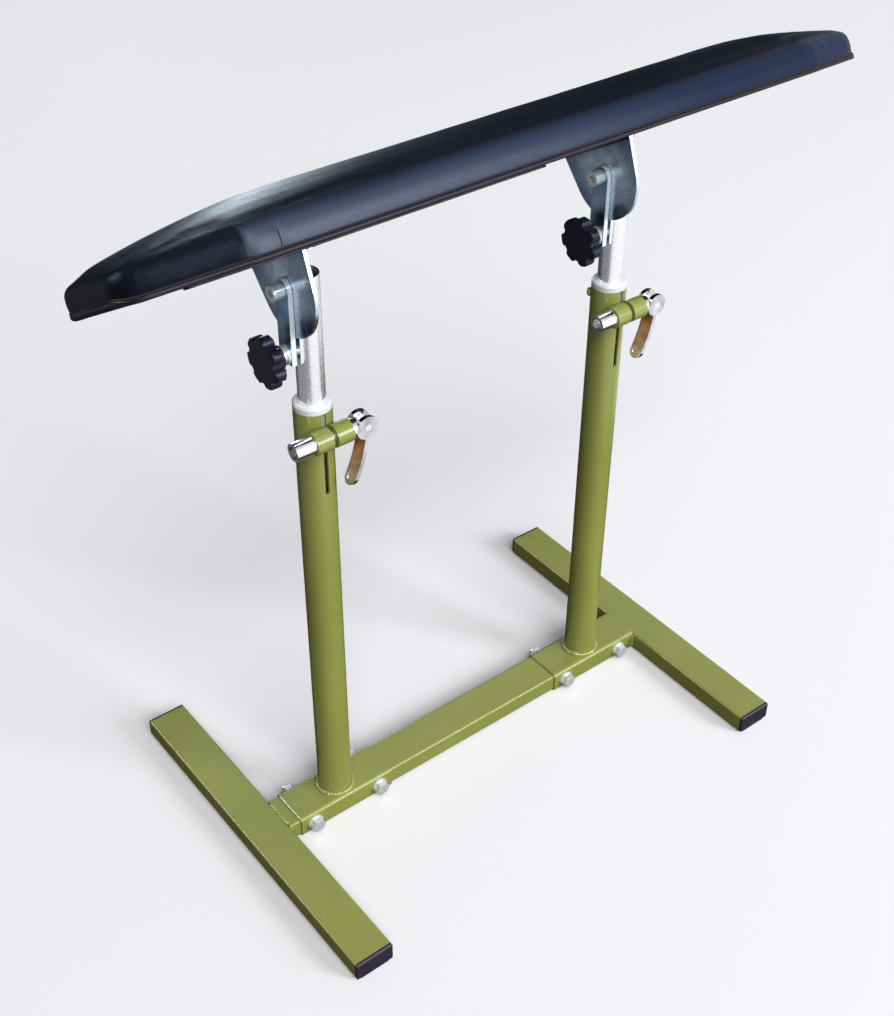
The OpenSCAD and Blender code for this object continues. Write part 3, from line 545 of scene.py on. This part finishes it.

# The levers' flat faces carry a painted brown reflection, mottled darker; their edges are polished
# bright.
LEVER_REFLECTED_BROWN = linear(218, 152, 108)
LEVER_REFLECTED_DARK = linear(146, 98, 78)
painted_reflection_lever = Finish("lever with painted reflection", Roughness=0.3)
lever_flat = abs(painted_reflection_lever.axes(painted_reflection_lever.facing())[0]).ramp(0.82, 0.97)
reflection_mottle = painted_reflection_lever.noise(70, 4, 0.6).ramp(0.35, 0.65)
painted_reflection_lever.set({
    "Base Color": painted_reflection_lever.mix(
        lever_flat, painted_reflection_lever.mix(reflection_mottle, (0.84, 0.84, 0.85), (0.46, 0.44, 0.43)),
        painted_reflection_lever.mix(reflection_mottle, LEVER_REFLECTED_BROWN, LEVER_REFLECTED_DARK)),
    "Metallic": 1.0 - lever_flat * 0.8,
    "Roughness": lever_flat.ramp(0.0, 1.0, 0.10, 0.28)})
dress(painted_reflection_lever, "left_lever", "right_lever")


# Inner tubes
# Drawn aluminium tube, polished lengthways, so it draws the lights into long streaks
# and carries faint rings where the bush has run on it.

alloy = Finish("polished aluminium", Metallic=1.0)
rings = alloy.noise(1.0, 3, vector=alloy.stretched((30, 30, 900)))
alloy.set({
    "Base Color": alloy.mix(rings * 0.3, (0.95, 0.95, 0.96), (0.80, 0.80, 0.82)),
    "Roughness": rings.ramp(0.3, 0.7, 0.20, 0.30),
    "Normal": alloy.bump(rings, 0.00003, 0.08)})
dress(alloy, "left_inner_tube", "right_inner_tube")


# Tilting brackets
# Pressed steel plates and flat clamp bars with a cloudy blue-grey zinc finish. Their edges and
# the bend are painted paler than the flat faces as a painted highlight, and one rings the pivot
# bolt.

PIVOT_Z = 0.5902

plate_zinc = Finish("blue zinc plate", Metallic=1.0)
flatness = abs(plate_zinc.axes(plate_zinc.facing())[0]).ramp(0.80, 0.98)
clouds = plate_zinc.noise(26, 4, 0.6).ramp(0.35, 0.7)
from_bolt = plate_zinc.node("ShaderNodeVectorMath", {"operation": "LENGTH"}, {
    0: plate_zinc.node("ShaderNodeVectorMath", {"operation": "MULTIPLY_ADD"}, {
        0: plate_zinc.place(), 1: (0.0, 1.0, 1.0), 2: (0.0, 0.0, -PIVOT_Z)})}, out="Value")
# Painted highlight: a pale halo round the pivot bolt, broken up by the clouds.
bolt_highlight = from_bolt.ramp(0.012, 0.046, 1.0, 0.0) * clouds.ramp(0.0, 1.0, 0.5, 1.0)
flat_colour = plate_zinc.mix(bolt_highlight, plate_zinc.mix(clouds, (0.10, 0.17, 0.30), (0.26, 0.38, 0.50)),
                             (0.74, 0.90, 0.98))
# Painted highlight: the edges and the bend take a pale colour, the flat faces the clouded blue.
plate_zinc.set({
    "Base Color": plate_zinc.mix(flatness, (0.60, 0.71, 0.77), flat_colour),
    "Roughness": plate_zinc.noise(90, 3).ramp(0.3, 0.7, 0.20, 0.34),
    "Normal": plate_zinc.bump(plate_zinc.noise(500, 2), 0.00008, 0.25)})
dress(plate_zinc, "left_bracket", "right_bracket")

# The clamp bars' flat faces match the plates; their edges are painted pale and matt, a painted
# highlight.
bar_zinc = Finish("zinc bar")
bar_flat = abs(bar_zinc.axes(bar_zinc.facing())[0]).ramp(0.80, 0.98)
bar_clouds = bar_zinc.noise(40, 4, 0.6).ramp(0.35, 0.7)
bar_zinc.set({
    "Base Color": bar_zinc.mix(bar_flat, (0.80, 0.88, 0.92),
                               bar_zinc.mix(bar_clouds, (0.14, 0.26, 0.42), (0.46, 0.66, 0.80))),
    "Metallic": bar_flat.ramp(0.0, 1.0, 0.25, 1.0),
    "Roughness": bar_zinc.noise(160, 3).ramp(0.3, 0.7, 0.24, 0.40),
    "Normal": bar_zinc.bump(bar_zinc.noise(500, 2), 0.00008, 0.25)})
dress(bar_zinc, "left_clamp_bar", "right_clamp_bar")


# Star knobs
# Seven-lobed knobs moulded in black plastic round the end of a steel stud, which they
# turn. The mould leaves them a finely eroded, half-gloss skin.

knob_plastic = Finish("knob plastic", Roughness=0.34, Specular_IOR_Level=0.22)
knob_plastic.set({
    "Base Color": knob_plastic.mix(
        knob_plastic.noise(70, 3), linear(16, 17, 30), linear(28, 29, 46)),
    "Normal": knob_plastic.bump(knob_plastic.noise(1100, 1), 0.0002, 0.35)})
dress(knob_plastic, "left_knob", "right_knob")


# Pad board
# Birch plywood inside the cover, to which the foam and the cover are fixed and the
# brackets are screwed. Its grain runs along the pad.

plywood = Finish("birch plywood", Roughness=0.62)
grain = plywood.noise(1.0, 5, 0.6, vector=plywood.stretched((6, 120, 120)))
plywood.set({
    "Base Color": plywood.mix(grain, linear(196, 160, 112), linear(150, 112, 70)),
    "Normal": plywood.bump(grain, 0.0004, 0.4)})
dress(plywood, "pad_board")


# Pad cushion
# Foam under a black-blue leatherette cover, crowned and lower towards its tips. The
# cover is pulled down round the board, pleated at the corners and stitched to a rim.

PAD_TILT = math.radians(31)
PIVOT = Vector((0, 0, PIVOT_Z))
RIM_RISE = 0.026
PAD_L, PAD_WIDE_L = 0.760, 0.576
PAD_W, PAD_END_W = 0.180, 0.130
PAD_TIP_R = 0.022
WALL_H, CROWN, RIM_H = 0.025, 0.0262, 0.0046
LEFT_HIP, RIGHT_HIP, HIP_SPREAD = 0.226, 0.250, 0.050
CROWN_FALL, CROWN_FALL_POWER = 0.78, 1.5
TIP_DROP, NOSE_H = 0.36, 0.55 * WALL_H
# How far in and how high the points of the cushion's wall lie, from its foot up, and
# the shares of the half width at which the crown has points.
WALL_PROFILE = ((0.0030, 0.0), (0.0012, RIM_H / 3), (0.0010, RIM_H), (0.0002, 0.010),
                (0.0, 0.0165), (0.0008, 0.0215), (0.0032, 0.0250))
CROWN_SHARES = (0.9, 0.78, 0.62, 0.42, 0.2)
# Where the cushion has sections, as shares of its wide part, its taper and its tip.
MIDDLE_SHARES = (0, 0.25, 0.5, 0.75, 0.86, 0.93)
TAPER_SHARES = (-0.06, 0.06, 0.25, 0.5, 0.75, 1.0)
TIP_SHARES = (0.3, 0.55, 0.75, 0.9, 0.98, 1.0)

pad_to_world = (Matrix.Translation(PIVOT) @ Matrix.Rotation(-PAD_TILT, 4, "X")
                @ Matrix.Translation((0, 0, RIM_RISE)))


def pad_half(along):
    """Half width of the cushion's outline at a distance along it from its middle."""
    taper_l = PAD_L / 2 - PAD_WIDE_L / 2
    taper = max(along - PAD_WIDE_L / 2, 0) / taper_l
    into_tip = min(max(along - (PAD_L / 2 - PAD_TIP_R), 0), PAD_TIP_R)
    tip_cut = PAD_TIP_R - math.sqrt(PAD_TIP_R ** 2 - into_tip ** 2)
    return PAD_W / 2 - (PAD_W - PAD_END_W) / 2 * taper - tip_cut


def crown_rise(x, share):
    """Rise of the crown at a share of the half width; it falls off along a diagonal hip."""
    start = (LEFT_HIP if x < 0 else RIGHT_HIP) + HIP_SPREAD * share
    out = max(abs(x) - start, 0) / (PAD_L / 2 - start)
    return CROWN * (1 - CROWN_FALL * out ** CROWN_FALL_POWER)


def at_tip(along, height):
    into_tip = min(max(along - (PAD_L / 2 - PAD_TIP_R), 0) / PAD_TIP_R, 1)
    return NOSE_H + (height - NOSE_H) * (1 - TIP_DROP * into_tip ** 4)


def cushion_section(x, shrink):
    """Points round the cushion at one place along it, in its own width and height."""
    along = abs(x)
    half_w = pad_half(along) - shrink
    side = [(half_w - inward, height) for inward, height in WALL_PROFILE]
    over = [(half_w * share, WALL_H + (crown_rise(x, share) - shrink) * (1 - share * share))
            for share in CROWN_SHARES]
    right_side = [(w, at_tip(along, h)) for w, h in side + over]
    left_side = [(-w, h) for w, h in reversed(right_side)]
    return right_side + [(0.0, at_tip(along, WALL_H + crown_rise(x, 0) - shrink))] + left_side


def cushion_stations():
    taper_end = PAD_L / 2 - PAD_TIP_R
    middle = [PAD_WIDE_L / 2 * share for share in MIDDLE_SHARES]
    taper = [PAD_WIDE_L / 2 + (taper_end - PAD_WIDE_L / 2) * share
             for share in TAPER_SHARES]
    tip = [taper_end + PAD_TIP_R * share for share in TIP_SHARES]
    ahead = middle + taper + tip
    return [-x for x in reversed(ahead[1:])] + ahead


def cushion_mesh(shrink):
    rows = [[(x * (1 - 2 * shrink / PAD_L), w, h) for w, h in cushion_section(x, shrink)]
            for x in cushion_stations()]
    count = len(rows[0])
    skin = []
    for row in range(len(rows) - 1):
        for i in range(count):
            j = (i + 1) % count
            near, far = row * count, (row + 1) * count
            skin.append((near + i, near + j, far + j, far + i))
    skin.append(tuple(range(count - 1, -1, -1)))
    skin.append(tuple((len(rows) - 1) * count + i for i in range(count)))
    return [point for row in rows for point in row], skin


def evaluated(piece):
    """A fresh mesh of the piece as its modifiers leave it."""
    graph = bpy.context.evaluated_depsgraph_get()
    return bpy.data.meshes.new_from_object(piece.evaluated_get(graph))


COVER_VOXEL = 0.005
COVER_SHRINK = 0.0012
COVER_PRESSURE = 3.2
COVER_FRAMES = 20
COVER_REACH = 0.0015
COVER_SINK = 0.0006
GLUED_H = 0.003


def filled_out(piece):
    """Let the cover swell on its foam, held to the board at its rim, then keep that shape."""
    skin = piece.modifiers.new("skin", "REMESH")
    skin.mode = "VOXEL"
    skin.voxel_size = COVER_VOXEL
    piece.data = evaluated(piece)
    piece.modifiers.clear()
    start = [vertex.co.copy() for vertex in piece.data.vertices]
    facing = [vertex.normal.copy() for vertex in piece.data.vertices]
    glued = piece.vertex_groups.new(name="glued")
    glued.add([i for i, point in enumerate(start) if point.z < GLUED_H], 1.0, "REPLACE")
    cloth = piece.modifiers.new("cover", "CLOTH")
    cloth.settings.vertex_group_mass = "glued"
    cloth.settings.use_pressure = True
    cloth.settings.uniform_pressure_force = COVER_PRESSURE
    cloth.settings.effector_weights.gravity = 0
    cloth.settings.quality = 5
    cloth.point_cache.frame_start, cloth.point_cache.frame_end = 1, COVER_FRAMES
    for step in range(1, COVER_FRAMES + 1):
        bpy.context.scene.frame_set(step)
    swollen = evaluated(piece)
    piece.modifiers.clear()
    piece.vertex_groups.clear()
    # The foam behind the cover lets it swell a little, and hardly lets it sink.
    for before, outward, vertex in zip(start, facing, swollen.vertices):
        moved = vertex.co - before
        sunk = moved.dot(outward) + COVER_SINK
        if sunk < 0:
            moved -= outward * sunk
        if moved.length > COVER_REACH:
            moved *= COVER_REACH / moved.length
        vertex.co = before + moved
    piece.data = swollen
    bpy.context.scene.frame_set(1)


PLEAT_DEPTH, PLEAT_W, PLEAT_SLANT = 0.0013, 0.006, 0.06
SIDE_PLEAT_DEPTH, SIDE_PLEAT_W, SIDE_PLEAT_IN = 0.0007, 0.004, 0.026
RIGHT_PLEAT_SHARE = 0.35
WALL_FADE_UP, WALL_FADE_H = 0.004, 0.006
WALL_FROM_Y = 0.04
SLACK, SLACK_SCALES = 0.0003, (22, 14, 60)


def groove(distance, width):
    """1 in the middle of a groove and 0 outside it, with soft flanks."""
    return max(0.0, 1 - (distance / width) ** 2) ** 2


def pleated(point):
    """Where a point of the cover goes once the pleats at its corners are drawn in."""
    outward = Vector((0, 1 if point.y > 0 else -1, 0))
    on_wall = 0
    if abs(point.y) > WALL_FROM_Y:
        on_wall = min(max((WALL_H + WALL_FADE_UP - point.z) / WALL_FADE_H, 0), 1)
    depth = 0.0
    for corner in (-1, 1):
        fold_x = corner * (PAD_WIDE_L / 2 - PLEAT_SLANT * (WALL_H - point.z))
        side_x = corner * (PAD_WIDE_L / 2 - SIDE_PLEAT_IN)
        drawn_in = 1.0 if corner < 0 else RIGHT_PLEAT_SHARE
        depth += PLEAT_DEPTH * drawn_in * groove(point.x - fold_x, PLEAT_W)
        depth += SIDE_PLEAT_DEPTH * drawn_in * groove(point.x - side_x, SIDE_PLEAT_W)
    slack_at = Vector([value * scale for value, scale in zip(point, SLACK_SCALES)])
    slack = SLACK * noise.noise(slack_at)
    return point - outward * depth * on_wall + Vector((0, 0, slack if point.z > RIM_H else 0))


cover = Finish("black leatherette", Specular_IOR_Level=0.06, Coat_Roughness=0.5)
cover.set({"Specular Tint": (0.66, 0.80, 1.0, 1.0), "Coat Tint": (0.82, 0.90, 1.0, 1.0)})
pad_point = cover.place()
tilt_cos, tilt_sin = math.cos(PAD_TILT), math.sin(PAD_TILT)
pad_along = cover.axes(pad_point)[0]
pad_height = cover.node("ShaderNodeVectorMath", {"operation": "DOT_PRODUCT"},
                        {0: pad_point, 1: (0.0, tilt_sin, tilt_cos)}, out="Value") \
    - (PIVOT.z * tilt_cos + RIM_RISE)
grain_cells = cover.node("ShaderNodeTexVoronoi", {"feature": "DISTANCE_TO_EDGE"},
                         {"Vector": pad_point, "Scale": 560.0, "Randomness": 1.0}, out="Distance")
pebble = grain_cells.ramp(0.0, 0.22) + cover.noise(1400, 2) * 0.3
puckers = cover.noise(1.0, 3, vector=cover.stretched((70, 16, 16)))
drawn = cover.noise(1.0, 2, vector=cover.stretched((260, 30, 30)))
drawn = drawn * pad_height.ramp(0.004, 0.014, 1.0, 0.0)
blue_drift = cover.noise(7, 3).ramp(0.35, 0.65)
worn = cover.noise(11, 3).ramp(0.45, 0.75)
crown_colour = cover.mix(blue_drift, linear(14, 17, 27), linear(19, 22, 33))
sheen_wall_colour = cover.mix(blue_drift, linear(27, 38, 62), linear(35, 44, 66))
# The wall's lighter blue is painted sheen from the front light. The left taper's darker colour is
# painted shade; the crown and the underside keep the darker colour too.
off_sheen_area = (-1 * pad_along).ramp(PAD_WIDE_L / 2 - 0.004, PAD_WIDE_L / 2 + 0.002)
off_sheen_area = off_sheen_area.math("MAXIMUM", off_sheen_area, pad_height.ramp(0.022, 0.032))
off_sheen_area = off_sheen_area.math("MAXIMUM", off_sheen_area, pad_height.ramp(0.0006, 0.0024, 1.0, 0.0))
sheen_and_shade_colour = cover.mix(off_sheen_area, sheen_wall_colour, crown_colour)
cover.set({
    "Base Color": cover.mix(worn * 0.08, sheen_and_shade_colour, linear(44, 52, 66)),
    "Roughness": cover.noise(150, 2).ramp(0.3, 0.7, 0.28, 0.36),
    "Coat Weight": (1.0 - off_sheen_area) * pad_along.ramp(-0.28, 0.16, 1.0, 0.0),
    "Normal": cover.bump(pebble, 0.0002, 0.3, under=cover.bump(
        drawn, 0.0006, 0.4, under=cover.bump(puckers, 0.0010, 0.25)))})

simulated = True
vertices, faces = cushion_mesh(COVER_SHRINK if simulated else 0.0)
cushion = add_piece("pad_cover", vertices, faces, cover, "pad")
if simulated:
    filled_out(cushion)
soften = cushion.modifiers.new("soften", "SUBSURF")
soften.levels = soften.render_levels = 1 if simulated else 2
cushion.data = evaluated(cushion)
cushion.modifiers.clear()
for vertex in cushion.data.vertices:
    vertex.co = pad_to_world @ pleated(vertex.co)
cushion.data.materials.clear()
cushion.data.materials.append(cover.material)
cushion.data.shade_smooth()
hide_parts("pad_cushion")


# Rim of the cover
# The cover ends in a band turned under the board. A near-black band along the stitch line is
# painted shade of the gap between the wall and the rim, dark thread down the pleats at the left
# also paints the shade in their creases, and a strip of thinner edging is stapled under the
# left part.

RIM_PROUD = 0.0007
RIM_POINTS = 11
RIM_STEP = 0.004
TIP_POINTS = 10


def pad_edge(inset):
    """Points round the pad's outline, inset from it, anticlockwise from the front left."""
    xs, x = [], 0.0
    while x < PAD_L / 2 - PAD_TIP_R:
        xs.append(x)
        x += RIM_STEP
    xs += [PAD_L / 2 - PAD_TIP_R + PAD_TIP_R * math.sin(math.pi / 2 * k / (TIP_POINTS - 1))
           for k in range(TIP_POINTS)]
    every = [-x for x in reversed(xs[1:])] + xs
    front = [Vector((x, -pad_half(abs(x)), 0)) for x in every]
    back = [Vector((p.x, -p.y, 0)) for p in reversed(front)]
    ring = front + back
    made = []
    for i, point in enumerate(ring):
        ahead = ring[(i + 1) % len(ring)] - ring[i - 1]
        outward = Vector((ahead.y, -ahead.x, 0)).normalized()
        made.append((point - outward * inset, outward))
    return made


def edge_band(name, finish, profile, inset, keep=None):
    """A band with the given profile (out, up) along the pad's outline, all round or part."""
    ring = pad_edge(inset)
    closed = keep is None
    if keep:
        ring = [pair for pair in ring if pair[0].y < 0 and keep[0] <= pair[0].x <= keep[1]]
    vertices, faces, count = [], [], len(profile)
    for point, outward in ring:
        up = at_tip(abs(point.x), 0.0)
        for out, height in profile:
            vertices.append(pad_to_world @ (point + outward * out + Vector((0, 0, up + height))))
    rows = len(ring)
    for row in range(rows if closed else rows - 1):
        near, far = row * count, ((row + 1) % rows) * count
        for i in range(count):
            j = (i + 1) % count
            faces.append((near + i, near + j, far + j, far + i))
    if not closed:
        faces.append(tuple(range(count - 1, -1, -1)))
        faces.append(tuple((rows - 1) * count + i for i in range(count)))
    return add_piece(name, vertices, faces, finish, "pad")


def pillow_profile(thick, low, high, bulge):
    """A closed profile, flat inside and rounded outside."""
    made = [(-thick, low), (-thick * 0.2, low)]
    for k in range(RIM_POINTS):
        turn = math.pi * (k / (RIM_POINTS - 1) - 0.5)
        made.append((bulge * math.cos(turn), (low + high) / 2 + (high - low) / 2 * math.sin(turn)))
    return made + [(-thick * 0.2, high), (-thick, high)]


rim_cover = Finish("rim leatherette", Roughness=0.4, Specular_IOR_Level=0.2)
rim_cover.set({
    "Base Color": rim_cover.mix(rim_cover.noise(30, 3), linear(18, 15, 24), linear(38, 30, 40)),
    "Normal": rim_cover.bump(
        rim_cover.noise(1.0, 2, vector=rim_cover.stretched((240, 60, 60))), 0.0004, 0.5)})
edge_band("cover_rim", rim_cover, pillow_profile(
    thick=0.003, low=0.0, high=RIM_H - 0.0006, bulge=RIM_PROUD + 0.0004), inset=0.0030)

# Painted shade: near-black for the gap at the stitch line and for the pleats' creases.
seam_and_crease_shade = Finish("painted seam and crease shade", Roughness=0.8)
seam_and_crease_shade.set({"Base Color": seam_and_crease_shade.mix(
    seam_and_crease_shade.noise(400, 2), (0.004, 0.004, 0.006), (0.010, 0.010, 0.014))})
edge_band("rim_seam_shade", seam_and_crease_shade, pillow_profile(
    thick=0.002, low=RIM_H - 0.0007, high=RIM_H + 0.0006, bulge=0.0007), inset=0.0028)

# Dark thread down the left pleats, which also paints the shade in their creases.
PLEAT_THREAD_R = 0.0005
PLEAT_THREAD_POINTS = 15
# Each thread's name, its place along the pad, its lowest and highest point and its side.
PLEAT_THREADS = (("front_left", -0.262, 0.0060, 0.0175, -1),
                 ("back_left", -PAD_WIDE_L / 2, 0.0052, 0.0235, 1))
for label, x, low, high, side in PLEAT_THREADS:
    run = []
    for k in range(PLEAT_THREAD_POINTS):
        rise = low + (high - low) * k / (PLEAT_THREAD_POINTS - 1)
        hit, place, _, _ = cushion.ray_cast(
            pad_to_world @ Vector((x, side * PAD_W, rise)),
            (pad_to_world.to_3x3() @ Vector((0, -side, 0))).normalized())
        if hit:
            run.append(place)
    vertices, faces = tube_along(run, lambda step: PLEAT_THREAD_R, sides=8)
    add_piece(f"pleat_{label}", vertices, faces, seam_and_crease_shade, "pad")

STRIP_FROM, STRIP_TO = -0.338, -0.020
edge_band("under_strip", rim_cover, pillow_profile(
    thick=0.016, low=-0.0016, high=0.0002, bulge=0.0004), inset=0.0034,
    keep=(STRIP_FROM, STRIP_TO))
